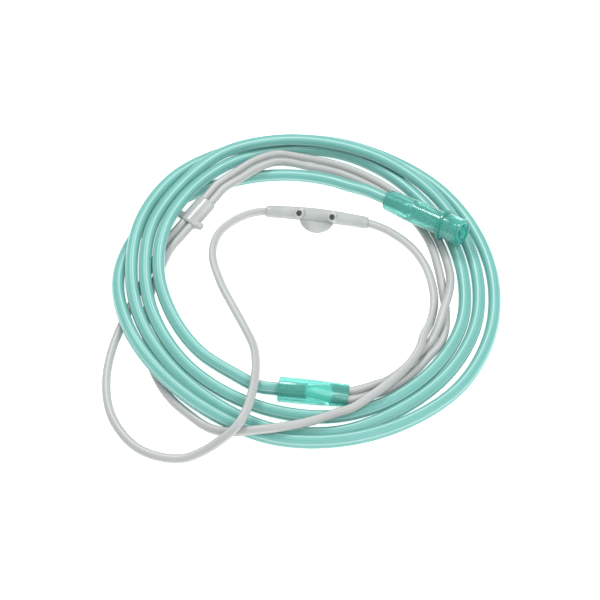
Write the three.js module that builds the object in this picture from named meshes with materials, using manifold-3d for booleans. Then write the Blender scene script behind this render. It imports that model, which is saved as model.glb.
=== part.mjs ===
// Nasal oxygen cannula, laid in a loose coil on a table.
//
// A green supply tube runs from the supply connector, in three and a half turns, to the
// junction. There it feeds two thin clear tubes, the lariat, that run side by side through the
// slide and part again to the two ends of the nasal piece, with its prongs and lip tab.
//
// Millimetres, +Z up. Routes and fittings are given in the laid frame: +X to the viewer's
// right, +Y away from the viewer, the table at height 0. The whole is then turned about +Z so
// that the supply connector points along +X, and moved so that the box round the fittings
// has its bottom centre at the origin.

import * as THREE from 'three';
import { mergeVertices } from 'three/addons/utils/BufferGeometryUtils.js';
import Module from 'manifold-3d';

// Tubes
const SUPPLY_TUBE_DIAMETER = 5.6;
const LARIAT_TUBE_DIAMETER = 3.8;
const TUBE_SIDES = 8;
const SUPPLY_STEPS_PER_POINT = 2;
const LARIAT_STEPS_PER_POINT = 2;

// Clearance between a tube and the socket or hole that it sits in
const SOCKET_CLEARANCE = 0.3;

// Supply connector: a soft funnel with a tube socket, a body, a ring and a cup
const CONNECTOR_LENGTH = 41;
const CONNECTOR_SOCKET_DEPTH = 13.5;
const CONNECTOR_END_DIAMETER = 9.6;
const CONNECTOR_BODY_DIAMETER = 11;
const CONNECTOR_TAPER_LENGTH = 12;
const CONNECTOR_STOP_LENGTH = 2;
const CONNECTOR_STOP_BORE = 4.2;
const CONNECTOR_BODY_BORE = 8.2;
const CONNECTOR_RING_DIAMETER = 14.5;
const CONNECTOR_RING_WIDTH = 1.2;
const CONNECTOR_CUP_DIAMETER = 12;
const CONNECTOR_CUP_DEPTH = 9;
const CONNECTOR_CUP_BORE = 9.8;
const CONNECTOR_LIP_DIAMETER = 12.8;
const CONNECTOR_LIP_WIDTH = 1.2;
const CONNECTOR_TUBE_END = [41.2, 51.4, 8];
const CONNECTOR_HEADING = -38.4;
const CONNECTOR_RISE = 9.6;

// Junction: a round half for the supply tube and a flat half for the two lariat tubes
const JUNCTION_LENGTH = 29.3;
const JUNCTION_DIAMETER = 10.8;
const JUNCTION_ROUND_LENGTH = 13;
const JUNCTION_SHOULDER_LENGTH = 5;
const JUNCTION_SOCKET_DEPTH = 12;
const JUNCTION_LARIAT_DEPTH = 8;
const JUNCTION_WALL = 0.85;
const JUNCTION_LARIAT_SPACING = 4.1;
const JUNCTION_FLOW_BORE = 3.6;
const JUNCTION_TUBE_END = [-8.9, -49.1];
const JUNCTION_HEADING = -6.3;

// Slide on the two lariat tubes
const SLIDE_LENGTH = 14.5;
const SLIDE_WALL = 0.7;
const SLIDE_CLEARANCE = 0.25;
const SLIDE_TUBE_SPACING = 4.06;
const SLIDE_EAR_LENGTH = 3.8;
const SLIDE_EAR_REACH = 2.4;
const SLIDE_EAR_THICKNESS = 3.2;
const SLIDE_EAR_FROM_END = 2.1;
const SLIDE_CENTRE = [-47.7, 45.75, 5.65];
const SLIDE_HEADING = -128;
const SLIDE_DROP = 10.15;

// Nasal piece: a hollow arched bar with two prongs and a lip tab
const NASAL_LENGTH = 47.8;
const NASAL_ARCH = 1.2;
const NASAL_END_DIAMETER = 5.8;
const NASAL_MID_DIAMETER = 6.5;
const NASAL_SOCKET_DEPTH = 8;
const NASAL_CHANNEL_BORE = 3;
const NASAL_CENTRE = [8.05, 44.9];
const NASAL_HEADING = -8.65;
const PRONG_SPACING = 15.2;
const PRONG_DIAMETER = 4.4;
const PRONG_BORE = 2.6;
const PRONG_LENGTH = 9.5;
const PRONG_RISE = 51;
const TAB_WIDTH = 16.2;
const TAB_REACH = 7.4;
const TAB_THICKNESS = 1.1;
const TAB_DROP = 14;

// The supply tube's turns, clockwise from above about the coil's centre: how far out and how
// high its centre line is at each station.
const COIL_CENTRE = [3, 10];
const FIRST_STATION = 120;
const STATION_ANGLE = 20;
const COIL_STATIONS = [
  // First turn: out of the junction, up the left inside, down the right inside
  [59.8, 4.4], [60.6, 3.4], [62.6, 4.8], [66.0, 7.0], [69.0, 8.8], [71.0, 9.1],
  [74.3, 7.1], [77.4, 2.9], [76.9, 2.8], [73.6, 2.8], [70.6, 2.8], [70.0, 2.8],
  [70.3, 2.8], [71.9, 2.8], [72.0, 2.8], [72.1, 2.8], [71.7, 2.8], [69.7, 2.8],
  // Second turn: on top of the others at the far side
  [68.6, 2.8], [69.2, 4.2], [70.4, 6.8], [72.1, 7.2], [75.1, 8.8], [77.0, 8.9],
  [79.4, 10.2], [79.1, 9.1], [77.3, 8.6], [75.8, 8.3], [76.0, 5.8], [76.1, 3.6],
  [76.7, 2.8], [77.9, 2.8], [77.9, 2.8], [77.8, 2.8], [79.2, 2.8], [78.2, 2.8],
  // Third turn: outermost, standing off by itself at the right
  [75.4, 3.2], [75.2, 5.4], [76.4, 7.2], [78.2, 7.4], [81.2, 8.9], [83.0, 8.8],
  [84.6, 4.4], [84.4, 2.8], [83.2, 2.8], [81.7, 2.8], [82.0, 2.8], [82.3, 2.8],
  [83.5, 2.8], [85.0, 2.8], [85.7, 2.8], [84.8, 4.4], [84.4, 5.6], [83.6, 5.8],
  // Last half turn: outside at the left, then under the others and in to the connector
  [81.0, 6.2], [80.9, 7.0], [82.6, 7.4], [84.2, 4.6], [81.6, 2.8], [74.0, 2.8],
  [66.8, 2.8], [62.2, 2.8], [59.1, 2.8],
];
const SUPPLY_FROM_JUNCTION = [
  [2.4, -50.35, 5.4], [-4, -49.64, 5.4], [-8.9, -49.1, 5.4], [-12.9, -48.64, 5.35], [-17.5, -47.6, 5],
];
const SUPPLY_TO_CONNECTOR = [
  [23.5, 63.4, 3.9], [32, 58.4, 6.1], [38.1, 53.86, 7.34], [41.2, 51.4, 8], [46, 47.6, 9.03], [51.3, 43.39, 10.16],
];

// The lariat tubes, from the junction round the right, over the far side, through the slide
// and under the coil, to the nasal piece
const LARIAT_LEFT_ROUTE = [
  [13.5, -49.4, 5.4], [20.5, -50.2, 5.4], [26, -48.5, 4.6], [31.8, -45.6, 3.2],
  [37.2, -42.8, 1.9], [42.9, -38.4, 1.9], [48.8, -32.3, 1.9], [53.4, -27.3, 1.9],
  [57.2, -22.6, 2.2], [60.5, -16.3, 4.9], [63, -8.8, 5.95], [65.8, 0, 5.6],
  [67.4, 9.5, 3.2], [67.1, 17.5, 1.9], [65.5, 26, 1.9], [60.5, 40.5, 1.9],
  [50.5, 55, 1.9], [38.5, 66.5, 1.9], [24, 75.8, 1.9], [10, 81, 1.9],
  [-2, 82.5, 3.6], [-11.5, 81.2, 6.6], [-22, 75.2, 8.4], [-31.4, 66.7, 9],
  [-38.95, 60.2, 8.66], [-42.6, 55.6, 7.6], [-58.45, 35.35, 2.99], [-62.1, 30.65, 1.93],
  [-67.5, 17, 1.9], [-73, 1, 1.9], [-77.5, -13, 1.9], [-81, -27.5, 1.9],
  [-82, -42.5, 1.9], [-79.5, -56.5, 1.9], [-74, -67, 1.9], [-66, -75, 1.9],
  [-56.5, -79, 1.9], [-47, -79.8, 2.4], [-39, -78, 5.2], [-31.5, -75.2, 9.8],
  [-25.4, -71.3, 13.6], [-21.9, -65, 14.2], [-20, -57, 12.8], [-18.8, -48, 10.8],
  [-18.6, -38, 8], [-20, -27, 4.6], [-24, -16.5, 2.4], [-29.5, -5, 1.9],
  [-35.5, 8, 1.9], [-40, 24.5, 1.9], [-37.5, 36.5, 1.9], [-30, 44.5, 1.9],
  [-22.5, 48, 2.5], [-15.6, 48.5, 3.2], [-8.5, 48.1, 3.2],
];
const LARIAT_RIGHT_ROUTE = [
  [13, -53.6, 5.4], [20, -54.4, 5.4], [26, -52.9, 4.6], [31.9, -50.2, 3.4],
  [37.6, -47.2, 2.2], [44.3, -42.6, 1.9], [50.2, -36.9, 1.9], [55.3, -30.9, 1.9],
  [60.5, -24.7, 1.9], [63.3, -17, 1.9], [64.3, -8, 1.9], [63.8, 3, 1.9],
  [62.6, 16, 1.9], [59.5, 31.5, 1.9], [52.5, 45.5, 1.9], [41.5, 58.5, 1.9],
  [30.2, 67, 1.9], [17, 73.8, 1.9], [5, 77, 1.9], [-4, 77.8, 4.2],
  [-12, 75.8, 6.9], [-20, 70.6, 8.4], [-28.4, 63.4, 9], [-35.75, 57.7, 8.66],
  [-39.4, 53.1, 7.6], [-55.25, 32.85, 2.99], [-58.9, 28.15, 1.93], [-63.2, 15.5, 1.9],
  [-66.5, 3, 1.9], [-67.5, -8, 1.9], [-67, -18.5, 1.9], [-65, -30.5, 1.9],
  [-60, -43, 1.9], [-53.5, -52.5, 1.9], [-46, -59.5, 1.9], [-38.4, -65.8, 3.2],
  [-31.8, -69.8, 6.6], [-25, -71.4, 9.3], [-18.5, -71.5, 10.8], [-12, -71, 11.2],
  [-5.5, -69.5, 10.4], [1, -67.5, 9.2], [8, -65, 8.6], [14.5, -62.5, 8.6],
  [21.5, -60, 8.6], [28, -55.3, 8.4], [35, -49.5, 7.8], [41.5, -43, 6.8],
  [47.5, -35.5, 6.1], [51.2, -29, 6], [53.5, -21.7, 5], [57, -13.4, 2.2],
  [59.3, -4, 1.9], [59.2, 6.5, 1.9], [57, 17, 1.9], [52, 27, 1.9],
  [44.5, 35, 1.9], [38, 39.2, 2.4], [31.7, 41.3, 3.2], [24.8, 43.1, 3.2],
];

const ROUND_SIDES = 32;
const degrees = THREE.MathUtils.degToRad;

const wasm = await Module();
wasm.setup();

// A closed three.js geometry as a solid
function solid(geometry) {
  const bare = geometry.clone();
  bare.deleteAttribute('normal');
  bare.deleteAttribute('uv');
  const merged = mergeVertices(bare, 1e-4);
  return new wasm.Manifold(new wasm.Mesh({
    numProp: 3,
    vertProperties: new Float32Array(merged.attributes.position.array),
    triVerts: new Uint32Array(merged.index.array),
  }));
}

// A solid back as a three.js geometry
function geometryOf(result) {
  const mesh = result.getMesh();
  const geometry = new THREE.BufferGeometry();
  geometry.setAttribute('position', new THREE.Float32BufferAttribute(mesh.vertProperties, 3));
  geometry.setIndex(new THREE.Uint32BufferAttribute(mesh.triVerts, 1));
  geometry.computeVertexNormals();
  return geometry;
}

// A straight stretch of an elliptical bar along +X whose half width and half height change
// from station to station: [x, half width, half height]
function loft(stations, sides = ROUND_SIDES) {
  const positions = [];
  const index = [];
  for (const [x, halfWidth, halfHeight] of stations) {
    for (let i = 0; i < sides; i += 1) {
      const turn = (2 * Math.PI * i) / sides;
      positions.push(x, halfWidth * Math.cos(turn), halfHeight * Math.sin(turn));
    }
  }
  for (let s = 0; s < stations.length - 1; s += 1) {
    for (let i = 0; i < sides; i += 1) {
      const a = s * sides + i;
      const b = s * sides + ((i + 1) % sides);
      index.push(a, b + sides, a + sides, a, b, b + sides);
    }
  }
  const last = (stations.length - 1) * sides;
  for (let i = 1; i < sides - 1; i += 1) {
    index.push(0, i + 1, i);
    index.push(last, last + i, last + i + 1);
  }
  const geometry = new THREE.BufferGeometry();
  geometry.setAttribute('position', new THREE.Float32BufferAttribute(positions, 3));
  geometry.setIndex(index);
  return geometry;
}

const bar = (from, to, radius, sides) => loft([[from, radius, radius], [to, radius, radius]], sides);

// A tube's centre line through its points, which never sinks into the table. Its steps follow
// the points, so that neighbouring turns of the coil stay parallel.
class Route extends THREE.CatmullRomCurve3 {
  constructor(points, tubeDiameter) {
    super(points.map((p) => new THREE.Vector3(...p)), false, 'centripetal');
    this.lowest = tubeDiameter / 2;
  }

  getPoint(t, target = new THREE.Vector3()) {
    super.getPoint(t, target);
    target.z = Math.max(target.z, this.lowest);
    return target;
  }

  getPointAt(u, target) {
    return this.getPoint(u, target);
  }

  getTangentAt(u, target) {
    return this.getTangent(u, target);
  }
}

function tube(points, diameter, stepsPerPoint) {
  const section = new THREE.Shape();
  for (let i = 0; i < TUBE_SIDES; i += 1) {
    const turn = (2 * Math.PI * i) / TUBE_SIDES;
    const x = (diameter / 2) * Math.cos(turn);
    const y = (diameter / 2) * Math.sin(turn);
    if (i === 0) section.moveTo(x, y);
    else section.lineTo(x, y);
  }
  section.closePath();
  return new THREE.ExtrudeGeometry(section, {
    extrudePath: new Route(points, diameter),
    steps: (points.length - 1) * stepsPerPoint,
  });
}

function supplyRoute() {
  const coil = COIL_STATIONS.map(([radius, height], i) => {
    const turn = -degrees(FIRST_STATION + STATION_ANGLE * i);
    return [
      COIL_CENTRE[0] + radius * Math.cos(turn),
      COIL_CENTRE[1] + radius * Math.sin(turn),
      height,
    ];
  });
  return [...SUPPLY_FROM_JUNCTION, ...coil, ...SUPPLY_TO_CONNECTOR];
}

// The supply connector, turned about its axis, which runs along +X from the tube end
function supplyConnector() {
  const socket = SUPPLY_TUBE_DIAMETER / 2 + SOCKET_CLEARANCE;
  const cupStart = CONNECTOR_LENGTH - CONNECTOR_CUP_DEPTH;
  const stopEnd = CONNECTOR_SOCKET_DEPTH + CONNECTOR_STOP_LENGTH;
  const lipStart = CONNECTOR_LENGTH - CONNECTOR_LIP_WIDTH;
  const profile = [
    [socket, 0],
    [CONNECTOR_END_DIAMETER / 2, 0],
    [CONNECTOR_BODY_DIAMETER / 2, CONNECTOR_TAPER_LENGTH],
    [CONNECTOR_BODY_DIAMETER / 2, cupStart - CONNECTOR_RING_WIDTH],
    [CONNECTOR_RING_DIAMETER / 2, cupStart - CONNECTOR_RING_WIDTH],
    [CONNECTOR_RING_DIAMETER / 2, cupStart],
    [CONNECTOR_CUP_DIAMETER / 2, cupStart],
    [CONNECTOR_CUP_DIAMETER / 2, lipStart],
    [CONNECTOR_LIP_DIAMETER / 2, lipStart],
    [CONNECTOR_LIP_DIAMETER / 2, CONNECTOR_LENGTH],
    [CONNECTOR_CUP_BORE / 2, CONNECTOR_LENGTH],
    [CONNECTOR_CUP_BORE / 2, cupStart],
    [CONNECTOR_BODY_BORE / 2, cupStart - CONNECTOR_RING_WIDTH],
    [CONNECTOR_BODY_BORE / 2, stopEnd],
    [CONNECTOR_STOP_BORE / 2, stopEnd],
    [CONNECTOR_STOP_BORE / 2, CONNECTOR_SOCKET_DEPTH],
    [socket, CONNECTOR_SOCKET_DEPTH],
    [socket, 0],
  ];
  const geometry = new THREE.LatheGeometry(
    profile.map(([radius, along]) => new THREE.Vector2(radius, along)),
    ROUND_SIDES,
  );
  return geometry.rotateZ(-Math.PI / 2);
}

// The junction along +X, with the supply socket at its start and the two lariat sockets,
// side by side across Y, at its end
function junction() {
  const lariatHole = LARIAT_TUBE_DIAMETER / 2 + SOCKET_CLEARANCE;
  const flatHalfHeight = lariatHole + JUNCTION_WALL;
  const flatHalfWidth = JUNCTION_LARIAT_SPACING / 2 + flatHalfHeight;
  const round = JUNCTION_DIAMETER / 2;
  const shoulder = JUNCTION_ROUND_LENGTH + JUNCTION_SHOULDER_LENGTH;
  const lariatStart = JUNCTION_LENGTH - JUNCTION_LARIAT_DEPTH;
  const flow = JUNCTION_FLOW_BORE / 2;
  let body = solid(loft([
    [0, round, round],
    [JUNCTION_ROUND_LENGTH, round, round],
    [shoulder, round, (round + flatHalfHeight) / 2],
    [JUNCTION_LENGTH, flatHalfWidth, flatHalfHeight],
  ]));
  const supplySocket = bar(-1, JUNCTION_SOCKET_DEPTH, SUPPLY_TUBE_DIAMETER / 2 + SOCKET_CLEARANCE);
  const chamber = loft([
    [JUNCTION_SOCKET_DEPTH - 1, flow, flow],
    [lariatStart + 1, JUNCTION_LARIAT_SPACING / 2 + flow, flow],
  ]);
  body = body.subtract(solid(supplySocket)).subtract(solid(chamber));
  for (const side of [-1, 1]) {
    const socket = bar(lariatStart, JUNCTION_LENGTH + 1, lariatHole);
    socket.translate(0, (side * JUNCTION_LARIAT_SPACING) / 2, 0);
    body = body.subtract(solid(socket));
  }
  return geometryOf(body);
}

// The slide, centred, with the two tubes' holes along +X and its ears near its +X end
function slide() {
  const hole = LARIAT_TUBE_DIAMETER / 2 + SLIDE_CLEARANCE;
  const halfHeight = hole + SLIDE_WALL;
  const halfWidth = SLIDE_TUBE_SPACING / 2 + halfHeight;
  const half = SLIDE_LENGTH / 2;
  let body = solid(loft([[-half, halfWidth, halfHeight], [half, halfWidth, halfHeight]]));
  const ears = loft([
    [-(halfWidth + SLIDE_EAR_REACH), 0.55 * SLIDE_EAR_LENGTH / 2, 0.55 * SLIDE_EAR_THICKNESS / 2],
    [-(halfWidth + SLIDE_EAR_REACH / 2), SLIDE_EAR_LENGTH / 2, SLIDE_EAR_THICKNESS / 2],
    [halfWidth + SLIDE_EAR_REACH / 2, SLIDE_EAR_LENGTH / 2, SLIDE_EAR_THICKNESS / 2],
    [halfWidth + SLIDE_EAR_REACH, 0.55 * SLIDE_EAR_LENGTH / 2, 0.55 * SLIDE_EAR_THICKNESS / 2],
  ], ROUND_SIDES / 2);
  ears.rotateZ(Math.PI / 2).translate(half - SLIDE_EAR_FROM_END, 0, 0);
  body = body.add(solid(ears));
  for (const side of [-1, 1]) {
    const bore = bar(-half - 1, half + 1, hole);
    bore.translate(0, (side * SLIDE_TUBE_SPACING) / 2, 0);
    body = body.subtract(solid(bore));
  }
  return geometryOf(body);
}

// The nasal piece's centre line is a flat arch: how far it stands off the chord at x
const archAt = (x) => NASAL_ARCH * (1 - (2 * x / NASAL_LENGTH) ** 2);

// Bends a bar along +X to the nasal piece's arch
function arched(geometry) {
  const position = geometry.attributes.position;
  for (let i = 0; i < position.count; i += 1) {
    const x = position.getX(i);
    position.setY(i, position.getY(i) + archAt(THREE.MathUtils.clamp(x, -NASAL_LENGTH, NASAL_LENGTH)));
  }
  return geometry;
}

// A round bar along +X in even steps, whose radius is a function of x
function steppedBar(from, to, steps, radiusAt) {
  const stations = [];
  for (let i = 0; i <= steps; i += 1) {
    const x = from + ((to - from) * i) / steps;
    stations.push([x, radiusAt(x), radiusAt(x)]);
  }
  return loft(stations, ROUND_SIDES * 3 / 4);
}

// The nasal piece, centred, with its chord along +X, its prongs up and towards -Y and its tab
// low and towards -Y
function nasalPiece() {
  const half = NASAL_LENGTH / 2;
  const end = NASAL_END_DIAMETER / 2;
  const rise = (NASAL_MID_DIAMETER - NASAL_END_DIAMETER) / 2;
  const socket = LARIAT_TUBE_DIAMETER / 2 + SOCKET_CLEARANCE;
  const outside = (x) => end + rise * Math.cos((Math.PI / 2) * (x / half)) ** 2;
  let body = solid(arched(steppedBar(-half, half, 16, outside)));
  const tabShape = new THREE.Shape();
  tabShape.moveTo(-TAB_WIDTH / 2, 0);
  tabShape.lineTo(TAB_WIDTH / 2, 0);
  tabShape.absellipse(0, 0, TAB_WIDTH / 2, TAB_REACH, 0, -Math.PI, true);
  const tab = new THREE.ExtrudeGeometry(tabShape, { depth: TAB_THICKNESS, bevelEnabled: false, curveSegments: 12 });
  tab.translate(0, -end + 1, -TAB_THICKNESS / 2).rotateX(degrees(TAB_DROP)).translate(0, NASAL_ARCH, 0);
  body = body.add(solid(tab));
  for (const side of [-1, 1]) {
    const x = (side * PRONG_SPACING) / 2;
    const prong = bar(0, PRONG_LENGTH + end, PRONG_DIAMETER / 2, 24);
    prong.rotateZ(-Math.PI / 2).rotateX(-degrees(PRONG_RISE)).translate(x, archAt(x), 0);
    body = body.add(solid(prong));
  }
  body = body.subtract(solid(arched(steppedBar(-half - 1, half + 1, 16, () => NASAL_CHANNEL_BORE / 2))));
  for (const side of [-1, 1]) {
    const x = (side * PRONG_SPACING) / 2;
    const bore = bar(0, PRONG_LENGTH + end + 1, PRONG_BORE / 2, 24);
    bore.rotateZ(-Math.PI / 2).rotateX(-degrees(PRONG_RISE)).translate(x, archAt(x), 0);
    const inner = side * (half - NASAL_SOCKET_DEPTH);
    const outer = side * (half + 1);
    const mouth = arched(steppedBar(Math.min(inner, outer), Math.max(inner, outer), 4, () => socket));
    body = body.subtract(solid(bore)).subtract(solid(mouth));
  }
  return geometryOf(body);
}

const greenTube = new THREE.MeshStandardMaterial({
  color: 0x86c9bd, roughness: 0.25, metalness: 0, transparent: true, opacity: 0.85,
});
const greenFitting = new THREE.MeshStandardMaterial({
  color: 0x2fa08c, roughness: 0.2, metalness: 0, transparent: true, opacity: 0.8,
});
const clearSoft = new THREE.MeshStandardMaterial({
  color: 0xc9cfcd, roughness: 0.3, metalness: 0, transparent: true, opacity: 0.8,
});

const laid = new THREE.Group();

function place(name, geometry, material, position, heading = 0, pitch = 0) {
  const mesh = new THREE.Mesh(geometry, material);
  mesh.name = name;
  mesh.position.set(...position);
  mesh.rotation.order = 'ZYX';
  mesh.rotation.set(0, degrees(pitch), degrees(heading));
  laid.add(mesh);
  return mesh;
}

place(
  'supply_tube',
  tube(supplyRoute(), SUPPLY_TUBE_DIAMETER, SUPPLY_STEPS_PER_POINT),
  greenTube,
  [0, 0, 0],
);
place(
  'lariat_tube_left',
  tube(LARIAT_LEFT_ROUTE, LARIAT_TUBE_DIAMETER, LARIAT_STEPS_PER_POINT),
  clearSoft,
  [0, 0, 0],
);
place(
  'lariat_tube_right',
  tube(LARIAT_RIGHT_ROUTE, LARIAT_TUBE_DIAMETER, LARIAT_STEPS_PER_POINT),
  clearSoft,
  [0, 0, 0],
);
const fittings = [
  place('supply_connector', supplyConnector(), greenFitting, CONNECTOR_TUBE_END, CONNECTOR_HEADING, -CONNECTOR_RISE),
  place('junction', junction(), greenFitting, [...JUNCTION_TUBE_END, JUNCTION_DIAMETER / 2], JUNCTION_HEADING),
  place('slide', slide(), clearSoft, SLIDE_CENTRE, SLIDE_HEADING, SLIDE_DROP),
  place('nasal_piece', nasalPiece(), clearSoft, [...NASAL_CENTRE, NASAL_MID_DIAMETER / 2], NASAL_HEADING),
];

const turned = new THREE.Group();
turned.rotation.z = degrees(-CONNECTOR_HEADING);
turned.add(laid);
turned.updateMatrixWorld(true);

const box = new THREE.Box3();
for (const piece of fittings) box.expandByObject(piece, true);
turned.position.set(-(box.min.x + box.max.x) / 2, -(box.min.y + box.max.y) / 2, 0);

const cannula = new THREE.Group();
cannula.add(turned);

export default cannula;
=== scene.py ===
# %% [markdown]
# # A nasal oxygen cannula in Blender
#
# A nasal cannula brings oxygen to a patient's nose. A green supply tube runs from the oxygen
# outlet to a junction, two thin clear tubes go on from there to a soft nose piece, and a small
# slide on the thin tubes takes up the slack under the chin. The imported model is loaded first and
# stays as it is: it says where each piece is.

# %% Load the fixed frame
from math import cos, pi, radians, sin

import bmesh
import bpy
from mathutils import Matrix, Vector


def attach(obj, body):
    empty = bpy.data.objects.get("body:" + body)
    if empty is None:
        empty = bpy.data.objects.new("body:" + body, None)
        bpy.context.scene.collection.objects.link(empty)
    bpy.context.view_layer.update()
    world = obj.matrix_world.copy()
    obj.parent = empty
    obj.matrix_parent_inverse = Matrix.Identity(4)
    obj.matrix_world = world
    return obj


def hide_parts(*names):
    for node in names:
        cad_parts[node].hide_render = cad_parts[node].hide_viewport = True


MM = 0.001
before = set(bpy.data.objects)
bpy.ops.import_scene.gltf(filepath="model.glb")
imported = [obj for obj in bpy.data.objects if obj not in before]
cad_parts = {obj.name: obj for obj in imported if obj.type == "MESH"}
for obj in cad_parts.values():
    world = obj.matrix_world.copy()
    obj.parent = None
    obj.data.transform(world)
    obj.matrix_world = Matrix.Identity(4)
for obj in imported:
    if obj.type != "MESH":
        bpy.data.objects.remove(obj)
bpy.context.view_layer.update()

# %% [markdown]
# ## The laid frame
# The routes and fittings are given as they lie on the table, with +X to the viewer's right and
# +Y away from the viewer. The library's frame is turned, so that the supply connector points
# along +X, and its origin is under the middle of the fittings. One matrix takes laid
# millimetres there.

# %% Laid millimetres to frame metres
HEADING = radians(38.4)
SHIFT = Vector((10.9985, -12.2706, 0))
LAID = Matrix.Scale(MM, 4) @ Matrix.Translation(SHIFT) @ Matrix.Rotation(HEADING, 4, "Z")


def laid(point):
    return LAID @ Vector(point)


MIDDLE = laid((0, 0, 0))
print("The laid frame's middle:", MIDDLE)


# %% Adding an object and turning it to the middle
def add_object(name, data):
    made = bpy.data.objects.new(name, data)
    bpy.context.scene.collection.objects.link(made)
    return made


def aim(thing):
    thing.rotation_euler = (MIDDLE - thing.location).to_track_quat("-Z", "Y").to_euler()


# %% [markdown]
# ## The camera
# The photograph looks down at the table from 55 degrees with a longish lens. The camera stands
# on the laid frame's own front side, half a metre from the middle of the picture.

# %% Camera
FOCAL_LENGTH = 69
SENSOR_WIDTH = 36
DISTANCE = 513
ELEVATION = radians(55)
camera = add_object("camera", bpy.data.cameras.new("camera"))
camera.data.lens = FOCAL_LENGTH
camera.data.sensor_width = SENSOR_WIDTH
camera.data.clip_start = 0.01
camera.location = laid(Vector((0, -cos(ELEVATION), sin(ELEVATION))) * DISTANCE)
aim(camera)
bpy.context.scene.camera = camera
print("Camera at", camera.location)

# %% [markdown]
# ## The routes
# Each tube is one smooth line through listed points. They were read off the photograph,
# turned into millimetres by a scratch script, and then moved by hand where strands pass each
# other. The line is the same centripetal Catmull-Rom curve that the solid model uses, so the
# seen tube lies in its solid.

# %% A smooth route through points
SUPPLY_DIAMETER = 5.6
LARIAT_DIAMETER = 3.8
ROUTE_STEP = 2.2


def route(points, diameter):
    points = [Vector(p) for p in points]
    points = [2 * points[0] - points[1]] + points + [2 * points[-1] - points[-2]]
    line = []
    for p0, p1, p2, p3 in zip(points, points[1:], points[2:], points[3:]):
        d0, d1, d2 = ((b - a).length ** 0.5 for a, b in ((p0, p1), (p1, p2), (p2, p3)))
        t1 = ((p1 - p0) / d0 - (p2 - p0) / (d0 + d1) + (p2 - p1) / d1) * d1
        t2 = ((p2 - p1) / d1 - (p3 - p1) / (d1 + d2) + (p3 - p2) / d2) * d1
        c2 = -3 * p1 + 3 * p2 - 2 * t1 - t2
        c3 = 2 * p1 - 2 * p2 + t1 + t2
        count = max(2, round((p2 - p1).length / ROUTE_STEP))
        for i in range(count):
            t = i / count
            line.append(p1 + t1 * t + c2 * t * t + c3 * t ** 3)
    line.append(points[-2])
    for p in line:
        p.z = max(p.z, diameter / 2)
    return [laid(p) for p in line]


def route_length(line):
    return sum((b - a).length for a, b in zip(line, line[1:]))


# %% The supply tube's coil
COIL_CENTRE = (3, 10)
FIRST_STATION = 120
STATION_ANGLE = 20
COIL_STATIONS = [
    (59.8, 4.4), (60.6, 3.4), (62.6, 4.8), (66.0, 7.0), (69.0, 8.8), (71.0, 9.1),
    (74.3, 7.1), (77.4, 2.9), (76.9, 2.8), (73.6, 2.8), (70.6, 2.8), (70.0, 2.8),
    (70.3, 2.8), (71.9, 2.8), (72.0, 2.8), (72.1, 2.8), (71.7, 2.8), (69.7, 2.8),
    (68.6, 2.8), (69.2, 4.2), (70.4, 6.8), (72.1, 7.2), (75.1, 8.8), (77.0, 8.9),
    (79.4, 10.2), (79.1, 9.1), (77.3, 8.6), (75.8, 8.3), (76.0, 5.8), (76.1, 3.6),
    (76.7, 2.8), (77.9, 2.8), (77.9, 2.8), (77.8, 2.8), (79.2, 2.8), (78.2, 2.8),
    (75.4, 3.2), (75.2, 5.4), (76.4, 7.2), (78.2, 7.4), (81.2, 8.9), (83.0, 8.8),
    (84.6, 4.4), (84.4, 2.8), (83.2, 2.8), (81.7, 2.8), (82.0, 2.8), (82.3, 2.8),
    (83.5, 2.8), (85.0, 2.8), (85.7, 2.8), (84.8, 4.4), (84.4, 5.6), (83.6, 5.8),
    (81.0, 6.2), (80.9, 7.0), (82.6, 7.4), (84.2, 4.6), (81.6, 2.8), (74.0, 2.8),
    (66.8, 2.8), (62.2, 2.8), (59.1, 2.8),
]
SUPPLY_FROM_JUNCTION = [
    (2.4, -50.35, 5.4), (-4, -49.64, 5.4), (-8.9, -49.1, 5.4), (-12.9, -48.64, 5.35),
    (-17.5, -47.6, 5),
]
SUPPLY_TO_CONNECTOR = [
    (23.5, 63.4, 3.9), (32, 58.4, 6.1), (38.1, 53.86, 7.34), (41.2, 51.4, 8),
    (46, 47.6, 9.03), (51.3, 43.39, 10.16),
]


def coil_point(index, radius, height):
    turn = -radians(FIRST_STATION + STATION_ANGLE * index)
    return (COIL_CENTRE[0] + radius * cos(turn), COIL_CENTRE[1] + radius * sin(turn), height)


coil = [coil_point(i, radius, height) for i, (radius, height) in enumerate(COIL_STATIONS)]
supply_line = route(SUPPLY_FROM_JUNCTION + coil + SUPPLY_TO_CONNECTOR, SUPPLY_DIAMETER)
print("Supply tube, metres:", round(route_length(supply_line), 4))

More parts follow.
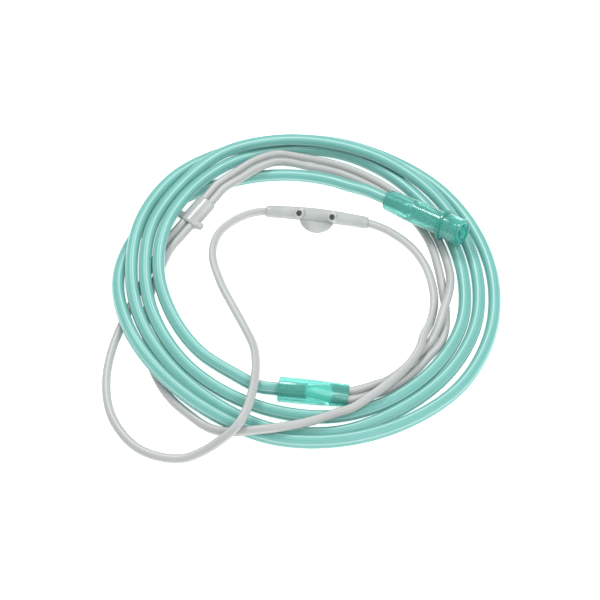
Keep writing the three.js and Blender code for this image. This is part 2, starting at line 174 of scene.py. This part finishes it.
# %% The thin tubes' points
LARIAT_LEFT_POINTS = [
    (13.5, -49.4, 5.4), (20.5, -50.2, 5.4), (26, -48.5, 4.6), (31.8, -45.6, 3.2),
    (37.2, -42.8, 1.9), (42.9, -38.4, 1.9), (48.8, -32.3, 1.9), (53.4, -27.3, 1.9),
    (57.2, -22.6, 2.2), (60.5, -16.3, 4.9), (63, -8.8, 5.95), (65.8, 0, 5.6),
    (67.4, 9.5, 3.2), (67.1, 17.5, 1.9), (65.5, 26, 1.9), (60.5, 40.5, 1.9),
    (50.5, 55, 1.9), (38.5, 66.5, 1.9), (24, 75.8, 1.9), (10, 81, 1.9),
    (-2, 82.5, 3.6), (-11.5, 81.2, 6.6), (-22, 75.2, 8.4), (-31.4, 66.7, 9),
    (-38.95, 60.2, 8.66), (-42.6, 55.6, 7.6), (-58.45, 35.35, 2.99), (-62.1, 30.65, 1.93),
    (-67.5, 17, 1.9), (-73, 1, 1.9), (-77.5, -13, 1.9), (-81, -27.5, 1.9),
    (-82, -42.5, 1.9), (-79.5, -56.5, 1.9), (-74, -67, 1.9), (-66, -75, 1.9),
    (-56.5, -79, 1.9), (-47, -79.8, 2.4), (-39, -78, 5.2), (-31.5, -75.2, 9.8),
    (-25.4, -71.3, 13.6), (-21.9, -65, 14.2), (-20, -57, 12.8), (-18.8, -48, 10.8),
    (-18.6, -38, 8), (-20, -27, 4.6), (-24, -16.5, 2.4), (-29.5, -5, 1.9),
    (-35.5, 8, 1.9), (-40, 24.5, 1.9), (-37.5, 36.5, 1.9), (-30, 44.5, 1.9),
    (-22.5, 48, 2.5), (-15.6, 48.5, 3.2), (-8.5, 48.1, 3.2),
]
LARIAT_RIGHT_POINTS = [
    (13, -53.6, 5.4), (20, -54.4, 5.4), (26, -52.9, 4.6), (31.9, -50.2, 3.4),
    (37.6, -47.2, 2.2), (44.3, -42.6, 1.9), (50.2, -36.9, 1.9), (55.3, -30.9, 1.9),
    (60.5, -24.7, 1.9), (63.3, -17, 1.9), (64.3, -8, 1.9), (63.8, 3, 1.9),
    (62.6, 16, 1.9), (59.5, 31.5, 1.9), (52.5, 45.5, 1.9), (41.5, 58.5, 1.9),
    (30.2, 67, 1.9), (17, 73.8, 1.9), (5, 77, 1.9), (-4, 77.8, 4.2),
    (-12, 75.8, 6.9), (-20, 70.6, 8.4), (-28.4, 63.4, 9), (-35.75, 57.7, 8.66),
    (-39.4, 53.1, 7.6), (-55.25, 32.85, 2.99), (-58.9, 28.15, 1.93), (-63.2, 15.5, 1.9),
    (-66.5, 3, 1.9), (-67.5, -8, 1.9), (-67, -18.5, 1.9), (-65, -30.5, 1.9),
    (-60, -43, 1.9), (-53.5, -52.5, 1.9), (-46, -59.5, 1.9), (-38.4, -65.8, 3.2),
    (-31.8, -69.8, 6.6), (-25, -71.4, 9.3), (-18.5, -71.5, 10.8), (-12, -71, 11.2),
    (-5.5, -69.5, 10.4), (1, -67.5, 9.2), (8, -65, 8.6), (14.5, -62.5, 8.6),
    (21.5, -60, 8.6), (28, -55.3, 8.4), (35, -49.5, 7.8), (41.5, -43, 6.8),
    (47.5, -35.5, 6.1), (51.2, -29, 6), (53.5, -21.7, 5), (57, -13.4, 2.2),
    (59.3, -4, 1.9), (59.2, 6.5, 1.9), (57, 17, 1.9), (52, 27, 1.9),
    (44.5, 35, 1.9), (38, 39.2, 2.4), (31.7, 41.3, 3.2), (24.8, 43.1, 3.2),
]
left_line = route(LARIAT_LEFT_POINTS, LARIAT_DIAMETER)
right_line = route(LARIAT_RIGHT_POINTS, LARIAT_DIAMETER)
print("Thin tubes, metres:", round(route_length(left_line), 4), round(route_length(right_line), 4))

# %% [markdown]
# ## Soft vinyl
# The tubes and fittings are soft vinyl, milky and a little see-through. The fittings let light
# through. The tubes don't: some transmission and a finer grain speckle them.
# Two shared groups give the surface its life: one clouds the colour, the other draws the ribs
# of the tube's star-shaped bore, which show through the wall as long pale and dark lines. The
# pale lines also stand in for a long highlight: a painted highlight.

# %% Small helpers for node trees
def group_socket(tree, name, kind, value=None, out=False):
    socket = tree.interface.new_socket(name, in_out="OUTPUT" if out else "INPUT", socket_type=kind)
    if value is not None:
        socket.default_value = value


def node(tree, kind, inputs=None, **settings):
    made = tree.nodes.new(kind)
    for key, value in settings.items():
        setattr(made, key, value)
    for key, value in (inputs or {}).items():
        if isinstance(value, bpy.types.NodeSocket):
            tree.links.new(value, made.inputs[key])
        else:
            made.inputs[key].default_value = value
    return made


# %% Shader group: clouded vinyl
GRAIN_SCALE = 300
GRAIN_IN_ROUGHNESS = 0.04


def clouded_vinyl_group():
    tree = bpy.data.node_groups.new("clouded vinyl", "ShaderNodeTree")
    group_socket(tree, "Color", "NodeSocketColor", (0.5, 0.8, 0.7, 1))
    group_socket(tree, "Cloud Color", "NodeSocketColor", (0.4, 0.7, 0.6, 1))
    group_socket(tree, "Cloud Scale", "NodeSocketFloat", 60.0)
    group_socket(tree, "Gloss", "NodeSocketFloat", 0.25)
    group_socket(tree, "Color", "NodeSocketColor", out=True)
    group_socket(tree, "Roughness", "NodeSocketFloat", out=True)
    group_socket(tree, "Height", "NodeSocketFloat", out=True)
    given = tree.nodes.new("NodeGroupInput").outputs
    result = tree.nodes.new("NodeGroupOutput").inputs
    place = node(tree, "ShaderNodeTexCoord").outputs["Object"]
    cloud = node(tree, "ShaderNodeTexNoise", {
        "Vector": place, "Scale": given["Cloud Scale"], "Detail": 3,
    })
    grain = node(tree, "ShaderNodeTexNoise", {"Vector": place, "Scale": GRAIN_SCALE, "Detail": 2})
    mask = node(tree, "ShaderNodeMapRange", {
        "Value": cloud.outputs["Fac"], "From Min": 0.35, "From Max": 0.7,
    })
    mix = node(tree, "ShaderNodeMix", {"Factor": mask.outputs["Result"]}, data_type="RGBA")
    tree.links.new(given["Color"], mix.inputs["A"])
    tree.links.new(given["Cloud Color"], mix.inputs["B"])
    rough = node(tree, "ShaderNodeMath", {
        0: grain.outputs["Fac"], 1: GRAIN_IN_ROUGHNESS,
    }, operation="MULTIPLY")
    rough = node(tree, "ShaderNodeMath", {0: rough.outputs[0], 1: given["Gloss"]}, operation="ADD")
    tree.links.new(mix.outputs["Result"], result["Color"])
    tree.links.new(rough.outputs[0], result["Roughness"])
    tree.links.new(grain.outputs["Fac"], result["Height"])
    return tree


# %% Shader group: the star-shaped bore's ribs seen through the wall, the pale ones also a painted highlight
def star_bore_and_highlight_group():
    tree = bpy.data.node_groups.new("star bore ribs and painted highlight", "ShaderNodeTree")
    group_socket(tree, "Ribs", "NodeSocketFloat", 5.0)
    group_socket(tree, "Sharpness", "NodeSocketFloat", 2.0)
    group_socket(tree, "Pale Rib And Highlight", "NodeSocketFloat", out=True)
    group_socket(tree, "Dark", "NodeSocketFloat", out=True)
    given = tree.nodes.new("NodeGroupInput").outputs
    result = tree.nodes.new("NodeGroupOutput").inputs
    around = node(tree, "ShaderNodeAttribute", attribute_name="around").outputs["Vector"]
    parts = node(tree, "ShaderNodeSeparateXYZ", {0: around}).outputs
    angle = node(tree, "ShaderNodeMath", {0: parts["Y"], 1: parts["X"]}, operation="ARCTAN2")
    turned = node(tree, "ShaderNodeMath", {
        0: angle.outputs[0], 1: given["Ribs"],
    }, operation="MULTIPLY")
    wave = node(tree, "ShaderNodeMath", {0: turned.outputs[0]}, operation="COSINE").outputs[0]
    up = node(tree, "ShaderNodeMath", {0: wave, 1: 0}, operation="MAXIMUM").outputs[0]
    down = node(tree, "ShaderNodeMath", {0: wave, 1: -1}, operation="MULTIPLY").outputs[0]
    down = node(tree, "ShaderNodeMath", {0: down, 1: 0}, operation="MAXIMUM").outputs[0]
    # The pale lines are partly the bore's ribs and partly a painted highlight along the tube.
    pale_and_highlight = node(tree, "ShaderNodeMath", {0: up, 1: given["Sharpness"]}, operation="POWER")
    dark = node(tree, "ShaderNodeMath", {0: down, 1: given["Sharpness"]}, operation="POWER")
    tree.links.new(pale_and_highlight.outputs[0], result["Pale Rib And Highlight"])
    tree.links.new(dark.outputs[0], result["Dark"])
    return tree


CLOUDED_VINYL = clouded_vinyl_group()
STAR_BORE_AND_HIGHLIGHT = star_bore_and_highlight_group()
print("Shader groups:", CLOUDED_VINYL.name, "and", STAR_BORE_AND_HIGHLIGHT.name)


# %% A vinyl material
VINYL_IOR = 1.45
VINYL_SPECULAR = 0.3
GRAIN_STRENGTH = 0.02
GRAIN_DEPTH = 0.0001


def vinyl(name, color, cloud, gloss, transmission=0.0, ribs=None, scale=60):
    material = bpy.data.materials.new(name)
    material.use_nodes = True
    tree = material.node_tree
    shader = tree.nodes["Principled BSDF"]
    shader.inputs["IOR"].default_value = VINYL_IOR
    shader.inputs["Specular IOR Level"].default_value = VINYL_SPECULAR
    shader.inputs["Transmission Weight"].default_value = transmission
    body = node(tree, "ShaderNodeGroup", node_tree=CLOUDED_VINYL)
    body.inputs["Color"].default_value = (*color, 1)
    body.inputs["Cloud Color"].default_value = (*cloud, 1)
    body.inputs["Cloud Scale"].default_value = scale
    body.inputs["Gloss"].default_value = gloss
    shade = body.outputs["Color"]
    if ribs:
        pale_and_highlight, dark, count, sharpness = ribs
        bore = node(tree, "ShaderNodeGroup", node_tree=STAR_BORE_AND_HIGHLIGHT)
        bore.inputs["Ribs"].default_value = count
        bore.inputs["Sharpness"].default_value = sharpness
        # The pale colour paints the ribs and a painted highlight; the dark colour paints the ribs.
        for line_color, mask in ((pale_and_highlight, "Pale Rib And Highlight"), (dark, "Dark")):
            mix = node(tree, "ShaderNodeMix", {"Factor": bore.outputs[mask]}, data_type="RGBA")
            tree.links.new(shade, mix.inputs["A"])
            mix.inputs["B"].default_value = (*line_color, 1)
            shade = mix.outputs["Result"]
    else:
        bump = node(tree, "ShaderNodeBump", {
            "Height": body.outputs["Height"], "Strength": GRAIN_STRENGTH, "Distance": GRAIN_DEPTH,
        })
        tree.links.new(bump.outputs["Normal"], shader.inputs["Normal"])
    tree.links.new(shade, shader.inputs["Base Color"])
    tree.links.new(body.outputs["Roughness"], shader.inputs["Roughness"])
    return material


# %% The five vinyls
# In both tube vinyls the pale rib colour also serves as a painted highlight along the tube.
GREEN_TUBE = vinyl(
    "green tube vinyl", (0.17, 0.42, 0.385), (0.15, 0.385, 0.35), 0.3,
    ribs=((0.36, 0.6, 0.56), (0.12, 0.36, 0.325), 5, 6.0),
)
CLEAR_TUBE = vinyl(
    "clear tube vinyl", (0.39, 0.405, 0.4), (0.365, 0.38, 0.375), 0.34,
    ribs=((0.48, 0.5, 0.49), (0.35, 0.37, 0.365), 4, 6.0),
)
GREEN_FITTING = vinyl(
    "green fitting vinyl", (0.24, 0.75, 0.67), (0.2, 0.7, 0.62), 0.14, 0.8, scale=90,
)
# A darker green for the connector's edges: painted shade for how dark they look seen edge on.
GREEN_EDGE_PAINTED_SHADE = vinyl(
    "green fitting edge painted shade", (0.06, 0.42, 0.36), (0.05, 0.38, 0.32), 0.14, 0.5, scale=90,
)
CLEAR_FITTING = vinyl(
    "clear fitting vinyl", (0.5, 0.525, 0.52), (0.46, 0.485, 0.48), 0.18, 0.25, scale=90,
)
VINYLS = (GREEN_TUBE, CLEAR_TUBE, GREEN_FITTING, GREEN_EDGE_PAINTED_SHADE, CLEAR_FITTING)
print("Vinyl materials:", [material.name for material in VINYLS])

# %% [markdown]
# ## The tubes
# A tube is one round section carried along its route, which is what the Curve to Mesh node
# does. Each corner of the section also remembers its direction round the tube, so that the
# material can draw the ribs along it, the pale ones also as a painted highlight. The tree's
# result is taken as a plain mesh.

# %% Geometry Nodes tree: a tube on a line
def tube_tree():
    tree = bpy.data.node_groups.new("tube on a line", "GeometryNodeTree")
    group_socket(tree, "Geometry", "NodeSocketGeometry")
    group_socket(tree, "Diameter", "NodeSocketFloat", 0.005)
    group_socket(tree, "Sides", "NodeSocketInt", 24)
    group_socket(tree, "Material", "NodeSocketMaterial")
    group_socket(tree, "Geometry", "NodeSocketGeometry", out=True)
    given = tree.nodes.new("NodeGroupInput").outputs
    result = tree.nodes.new("NodeGroupOutput").inputs
    radius = node(tree, "ShaderNodeMath", {0: given["Diameter"], 1: 0.5}, operation="MULTIPLY")
    section = node(tree, "GeometryNodeCurvePrimitiveCircle", {
        "Resolution": given["Sides"], "Radius": radius.outputs[0],
    })
    outward = node(tree, "ShaderNodeVectorMath", {
        0: node(tree, "GeometryNodeInputPosition").outputs[0],
    }, operation="NORMALIZE")
    marked = node(tree, "GeometryNodeStoreNamedAttribute", {
        "Geometry": section.outputs["Curve"], "Name": "around",
    }, data_type="FLOAT_VECTOR", domain="POINT")
    tree.links.new(outward.outputs["Vector"], marked.inputs["Value"])
    line = node(tree, "GeometryNodeMeshToCurve", {"Mesh": given["Geometry"]})
    tube = node(tree, "GeometryNodeCurveToMesh", {
        "Curve": line.outputs[0], "Profile Curve": marked.outputs[0], "Fill Caps": True,
    })
    smooth = node(tree, "GeometryNodeSetShadeSmooth", {"Geometry": tube.outputs[0]})
    real = node(tree, "GeometryNodeRealizeInstances", {"Geometry": smooth.outputs[0]})
    painted = node(tree, "GeometryNodeSetMaterial", {
        "Geometry": real.outputs[0], "Material": given["Material"],
    })
    tree.links.new(painted.outputs[0], result["Geometry"])
    return tree


TUBE_TREE = tube_tree()
print("Tree:", TUBE_TREE.name)


# %% Running the tree to a plain mesh
def run_tree(name, mesh, tree, values):
    source = add_object(name + "_line", mesh)
    modifier = source.modifiers.new("tree", "NODES")
    modifier.node_group = tree
    for item in tree.interface.items_tree:
        if item.in_out == "INPUT" and item.name in values:
            modifier[item.identifier] = values[item.name]
    evaluated = source.evaluated_get(bpy.context.evaluated_depsgraph_get())
    plain = bpy.data.meshes.new_from_object(evaluated)
    bpy.data.objects.remove(source)
    return add_object(name, plain)


def make_tube(name, line, diameter, material, sides):
    mesh = bpy.data.meshes.new(name + "_line")
    mesh.from_pydata(line, [(i, i + 1) for i in range(len(line) - 1)], [])
    values = {"Diameter": diameter * MM, "Sides": sides, "Material": material}
    piece = run_tree(name, mesh, TUBE_TREE, values)
    print(name, "has", len(piece.data.polygons), "faces")
    return piece


# %% The supply tube and the thin tubes
SUPPLY_SIDES = 28
LARIAT_SIDES = 20
SUPPLY_LOOK = (SUPPLY_DIAMETER, GREEN_TUBE, SUPPLY_SIDES, "green_tube", "medium", "coiled")
LARIAT_LOOK = (LARIAT_DIAMETER, CLEAR_TUBE, LARIAT_SIDES, "clear_soft", "limp", "loose")
TUBES = [
    ("supply_tube_soft", "supply_tube", supply_line, SUPPLY_LOOK),
    ("lariat_left_soft", "lariat_tube_left", left_line, LARIAT_LOOK),
    ("lariat_right_soft", "lariat_tube_right", right_line, LARIAT_LOOK),
]
for name, solid, line, (diameter, material, sides, slot, stiffness, lay) in TUBES:
    tube = make_tube(name, line, diameter, material, sides)
    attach(tube, "cannula")
    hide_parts(solid)

# %% [markdown]
# ## The fittings
# The connector and the junction are moulded in a deeper green, the slide and the nose piece in
# clear vinyl. Each is built in its own straight frame, along +X, and one matrix lays it where
# its solid lies. Round bars are lofted from a few sections. The slide and the nose piece have
# soft roots, so their bars are melted together by a voxel remesh and smoothed before the bores
# are cut. The connector and the junction have no roots and keep their exact lofts.

# %% Where each fitting lies
def lay_matrix(place, heading, pitch=0):
    turn = Matrix.Rotation(radians(heading), 4, "Z") @ Matrix.Rotation(radians(pitch), 4, "Y")
    return LAID @ Matrix.Translation(place) @ turn


CONNECTOR_LAY = lay_matrix((41.2, 51.4, 8), -38.4, -9.6)
JUNCTION_LAY = lay_matrix((-8.9, -49.1, 5.4), -6.3)
SLIDE_LAY = lay_matrix((-47.7, 45.75, 5.65), -128, 10.15)
NASAL_LAY = lay_matrix((8.05, 44.9, 3.25), -8.65)
LAYS = (CONNECTOR_LAY, JUNCTION_LAY, SLIDE_LAY, NASAL_LAY)
print("The fittings lie at", [lay.translation for lay in LAYS])


# %% A bar lofted along +X
def loft(shape, stations, sides=40, matrix=None):
    rings = []
    for x, half_width, half_height, *shift in stations:
        dy, dz = shift or (0, 0)
        ring = []
        for i in range(sides):
            turn = 2 * pi * i / sides
            point = Vector((x, half_width * cos(turn) + dy, half_height * sin(turn) + dz))
            ring.append(shape.verts.new(matrix @ point if matrix else point))
        rings.append(ring)
    for a, b in zip(rings, rings[1:]):
        for i in range(sides):
            j = (i + 1) % sides
            shape.faces.new((a[i], a[j], b[j], b[i]))
    shape.faces.new(rings[0])
    shape.faces.new(reversed(rings[-1]))


def round_bar(shape, start, end, radius, sides=32, matrix=None):
    loft(shape, [(start, radius, radius), (end, radius, radius)], sides, matrix)


# %% A mesh object from a finished shape
def add_piece(name, shape, material, matrix=None):
    bmesh.ops.recalc_face_normals(shape, faces=shape.faces)
    mesh = bpy.data.meshes.new(name)
    shape.to_mesh(mesh)
    shape.free()
    if matrix:
        mesh.transform(matrix)
    mesh.materials.append(material)
    return add_object(name, mesh)


# %% Melting bars into one moulding and cutting its bores
def mould(name, bars, bores, material, matrix, voxel=0, passes=0):
    body = add_piece(name + "_bars", bars, material)
    cutter = add_piece(name + "_bores", bores, material)
    if voxel:
        melt = body.modifiers.new("melt", "REMESH")
        melt.mode = "VOXEL"
        melt.voxel_size = voxel
        soften = body.modifiers.new("soften", "SMOOTH")
        soften.factor = 0.5
        soften.iterations = passes
    cut = body.modifiers.new("cut", "BOOLEAN")
    cut.operation = "DIFFERENCE"
    cut.solver = "EXACT"
    cut.use_self = True
    cut.object = cutter
    evaluated = body.evaluated_get(bpy.context.evaluated_depsgraph_get())
    mesh = bpy.data.meshes.new_from_object(evaluated)
    for used in (body, cutter):
        bpy.data.objects.remove(used)
    mesh.transform(matrix)
    mesh.materials.clear()
    mesh.materials.append(material)
    mesh.shade_smooth()
    mesh.set_sharp_from_angle(angle=radians(50))
    return add_object(name, mesh)


# %% What each finished fitting says about itself
def finish_fitting(piece, body, solid):
    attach(piece, body)
    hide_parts(solid)
    print(piece.name, "has", len(piece.data.polygons), "faces")


# %% [markdown]
# ## The supply connector
# A turned profile carried round its axis: a socket for the tube, a slow taper, a body, a thin
# ring where the fingers push, and a cup with a rounded lip. A remesh would blur the thin ring,
# so the profile is turned as it is, with small rounds drawn in it. The tube end, the ring and
# the lip are seen edge on through thick vinyl and look darker, so that darkening is painted on
# them in a darker green: painted shade.

# %% Supply connector
CONNECTOR_SIDES = 72
# Stretches along the connector's axis that get the darker green: painted shade.
CONNECTOR_PAINTED_SHADE_BANDS = ((-0.1, 0.5), (30.7, 32.1), (39.9, 41.1))
CONNECTOR_PROFILE = [
    (3.1, 0), (4.55, 0), (4.8, 0.3), (5.42, 11), (5.5, 12.4), (5.5, 30.5), (5.75, 30.75),
    (6.95, 30.8), (7.25, 31.05), (7.25, 31.75), (6.95, 32), (6.2, 32.05), (6, 32.3),
    (6, 39.5), (6.2, 39.8), (6.4, 40.05), (6.4, 40.75), (6.15, 41), (5.1, 41), (4.9, 40.8),
    (4.9, 32.2), (4.1, 30.8), (4.1, 15.7), (3.9, 15.5), (2.3, 15.5), (2.1, 15.3), (2.1, 13.5),
    (3.1, 13.5),
]


def turned_shape(profile, sides):
    shape = bmesh.new()
    rings = []
    for i in range(sides):
        turn = 2 * pi * i / sides
        rings.append([shape.verts.new((x, r * cos(turn), r * sin(turn))) for r, x in profile])
    count = len(profile)
    for i in range(sides):
        a, b = rings[i], rings[(i + 1) % sides]
        for j in range(count):
            k = (j + 1) % count
            shape.faces.new((a[j], a[k], b[k], b[j]))
    return shape


connector_shape = turned_shape(CONNECTOR_PROFILE, CONNECTOR_SIDES)
connector = add_piece("supply_connector_soft", connector_shape, GREEN_FITTING, CONNECTOR_LAY)
connector.data.shade_smooth()
connector.data.set_sharp_from_angle(angle=radians(35))
connector.data.materials.append(GREEN_EDGE_PAINTED_SHADE)
to_connector = CONNECTOR_LAY.inverted()
# Faces in these bands get the darker green: painted shade at the tube end, the ring and the lip.
for face in connector.data.polygons:
    along = (to_connector @ face.center).x
    if any(low < along < high for low, high in CONNECTOR_PAINTED_SHADE_BANDS):
        face.material_index = 1
finish_fitting(connector, "cannula", "supply_connector")

# %% [markdown]
# ## The junction
# A round half holds the supply tube and flattens towards the two thin tubes. Inside, the
# socket ends at a step, and a narrow chamber leads on to the two small sockets.

# %% Junction
JUNCTION_HOLE_PLACE = 2.05
JUNCTION_SECTIONS = [
    (0, 5.25, 5.25), (0.4, 5.4, 5.4), (13, 5.4, 5.4), (14.5, 5.4, 5.35), (16.5, 5.38, 4.95),
    (18.5, 5.36, 4.5), (24, 5.25, 3.85), (28.9, 5.15, 3.2), (29.3, 4.95, 3),
]
junction_bars = bmesh.new()
loft(junction_bars, JUNCTION_SECTIONS, sides=48)
junction_bores = bmesh.new()
round_bar(junction_bores, -1, 12, 3.1)
loft(junction_bores, [(11, 1.8, 1.8), (22.3, 3.85, 1.8)])
for side in (-1, 1):
    beside = Matrix.Translation((0, side * JUNCTION_HOLE_PLACE, 0))
    round_bar(junction_bores, 21.3, 31, 2.2, matrix=beside)
junction = mould("junction_soft", junction_bars, junction_bores, GREEN_FITTING, JUNCTION_LAY)
finish_fitting(junction, "cannula", "junction")

# %% [markdown]
# ## The slide
# A short flat sleeve round both thin tubes, with a rounded ear on each side near its lower end
# for the finger and thumb.

# %% Slide
SLIDE_HOLE_PLACE = 2.03
SLIDE_EAR_PLACE = 5.15
SLEEVE_SECTIONS = [
    (-7.25, 4.5, 2.45), (-6.9, 4.88, 2.85), (6.6, 4.88, 2.85), (7.25, 4.5, 2.45),
]
EAR_SECTIONS = [
    (-7.2, 0.9, 0.75), (-6.9, 1.5, 1.2), (-6, 1.9, 1.6), (-4, 1.6, 1.5), (4, 1.6, 1.5),
    (6, 1.9, 1.6), (6.9, 1.5, 1.2), (7.2, 0.9, 0.75),
]
slide_bars = bmesh.new()
loft(slide_bars, SLEEVE_SECTIONS, sides=48)
across = Matrix.Translation((SLIDE_EAR_PLACE, 0, 0)) @ Matrix.Rotation(radians(90), 4, "Z")
loft(slide_bars, EAR_SECTIONS, sides=24, matrix=across)
slide_bores = bmesh.new()
for side in (-1, 1):
    beside = Matrix.Translation((0, side * SLIDE_HOLE_PLACE, 0))
    round_bar(slide_bores, -9, 9, 2.15, matrix=beside)
slide = mould("slide_soft", slide_bars, slide_bores, CLEAR_FITTING, SLIDE_LAY, 0.24, 3)
finish_fitting(slide, "slide", "slide")

# %% [markdown]
# ## The nose piece
# An arched bar with two prongs that rise towards the wearer's nose and a half-round tab that
# rests on the upper lip. The roots of the prongs and of the tab are filleted by the smoothing.

# %% Nose piece: the arched bar
NASAL_HALF = 23.9
NASAL_ARCH = 1.2
NASAL_END_RADIUS = 2.9
NASAL_MIDDLE_GAIN = 0.35
NASAL_END_CAP = 2.7
NASAL_STEPS = 24


def arch(x):
    return NASAL_ARCH * (1 - (x / NASAL_HALF) ** 2)


def nasal_radius(x):
    return NASAL_END_RADIUS + NASAL_MIDDLE_GAIN * cos(pi / 2 * x / NASAL_HALF) ** 2


nasal_bars = bmesh.new()
bar_rows = [(-NASAL_HALF, NASAL_END_CAP, NASAL_END_CAP, arch(NASAL_HALF), 0)]
for i in range(1, NASAL_STEPS):
    x = -NASAL_HALF + 2 * NASAL_HALF * i / NASAL_STEPS
    bar_rows.append((x, nasal_radius(x), nasal_radius(x), arch(x), 0))
bar_rows.append((NASAL_HALF, NASAL_END_CAP, NASAL_END_CAP, arch(NASAL_HALF), 0))
loft(nasal_bars, bar_rows, sides=36)
print("The bar has", len(bar_rows), "sections")

# %% Nose piece: prongs and lip tab
PRONG_PLACE = 7.6
PRONG_RISE = radians(51)
PRONG_SECTIONS = [
    (0, 2.5, 2.5), (3.5, 2.4, 2.4), (6, 2.2, 2.2), (12.1, 2.15, 2.15), (12.4, 1.95, 1.95),
]
TAB_HALF = 8.1
TAB_REACH = 7.4
TAB_HALF_THICKNESS = 0.62
TAB_START = 1.9
TAB_DROP = radians(14)
TAB_STEPS = 18
prongs = []
for side in (-1, 1):
    root = Matrix.Translation((side * PRONG_PLACE, arch(PRONG_PLACE), 0))
    lean = Matrix.Rotation(-PRONG_RISE, 4, "X") @ Matrix.Rotation(radians(-90), 4, "Z")
    prongs.append(root @ lean)
    loft(nasal_bars, PRONG_SECTIONS, sides=28, matrix=prongs[-1])
tab_turn = Matrix.Translation((0, NASAL_ARCH, 0)) @ Matrix.Rotation(TAB_DROP, 4, "X")
tab_rows = []
for i in range(1, TAB_STEPS):
    x = -TAB_HALF * cos(pi * i / TAB_STEPS)
    reach = TAB_REACH * sin(pi * i / TAB_STEPS)
    tab_rows.append((x, reach / 2, TAB_HALF_THICKNESS, -TAB_START - reach / 2, 0))
loft(nasal_bars, tab_rows, sides=20, matrix=tab_turn)
print("Prongs:", len(prongs), "and the tab has", len(tab_rows), "sections")

# %% Nose piece: bores
TUBE_SOCKET_RADIUS = 2.2
TUBE_SOCKET_STATIONS = (16.5, 18, 20, 22, 24.2)
PRONG_BORE_RADIUS = 1.3
nasal_bores = bmesh.new()
for side in (-1, 1):
    loft(nasal_bores, [
        (side * x, TUBE_SOCKET_RADIUS, TUBE_SOCKET_RADIUS, arch(x), 0)
        for x in TUBE_SOCKET_STATIONS
    ])
for turn in prongs:
    round_bar(nasal_bores, 4, 14, PRONG_BORE_RADIUS, 24, turn)
nasal = mould("nasal_piece_soft", nasal_bars, nasal_bores, CLEAR_FITTING, NASAL_LAY, 0.28, 5)
finish_fitting(nasal, "cannula", "nasal_piece")

# %% [markdown]
# ## Floor and light
# The photograph is a product cut-out on white. A pale floor that glows a little, an even sky, a
# small key lamp and a large fill lamp give nearly the same flat look, with a faint shadow left
# between the strands and a long highlight on each tube.

# %% Floor
FLOOR_HALF = 3
FLOOR_SHADE = 0.9
FLOOR_GLOW = 0.7
FLOOR_CORNERS = [
    (-FLOOR_HALF, -FLOOR_HALF, 0), (FLOOR_HALF, -FLOOR_HALF, 0),
    (FLOOR_HALF, FLOOR_HALF, 0), (-FLOOR_HALF, FLOOR_HALF, 0),
]
floor_mesh = bpy.data.meshes.new("floor")
floor_mesh.from_pydata(FLOOR_CORNERS, [], [(0, 1, 2, 3)])
floor = add_object("floor", floor_mesh)
floor_material = bpy.data.materials.new("pale floor")
floor_material.use_nodes = True
floor_shader = floor_material.node_tree.nodes["Principled BSDF"]
floor_shader.inputs["Base Color"].default_value = (FLOOR_SHADE, FLOOR_SHADE, FLOOR_SHADE, 1)
floor_shader.inputs["Emission Color"].default_value = (1, 1, 1, 1)
floor_shader.inputs["Emission Strength"].default_value = FLOOR_GLOW
floor_shader.inputs["Roughness"].default_value = 0.9
floor_mesh.materials.append(floor_material)
print("Floor glow:", FLOOR_GLOW)


# %% Sky and lamps
SKY_STRENGTH = 0.7
world = bpy.data.worlds.new("white sky")
world.use_nodes = True
world.node_tree.nodes["Background"].inputs["Color"].default_value = (1, 1, 1, 1)
world.node_tree.nodes["Background"].inputs["Strength"].default_value = SKY_STRENGTH
bpy.context.scene.world = world
bpy.context.scene.view_settings.view_transform = "Standard"


def soft_lamp(name, place, size, watts):
    lamp = add_object(name, bpy.data.lights.new(name, "AREA"))
    lamp.data.shape = "RECTANGLE"
    lamp.data.size = size
    lamp.data.size_y = size
    lamp.data.energy = watts
    lamp.location = laid(place)
    aim(lamp)
    print(name, "at", lamp.location)


soft_lamp("key lamp", (-200, 350, 650), 0.16, 2.5)
soft_lamp("fill lamp", (300, -200, 700), 0.6, 4)
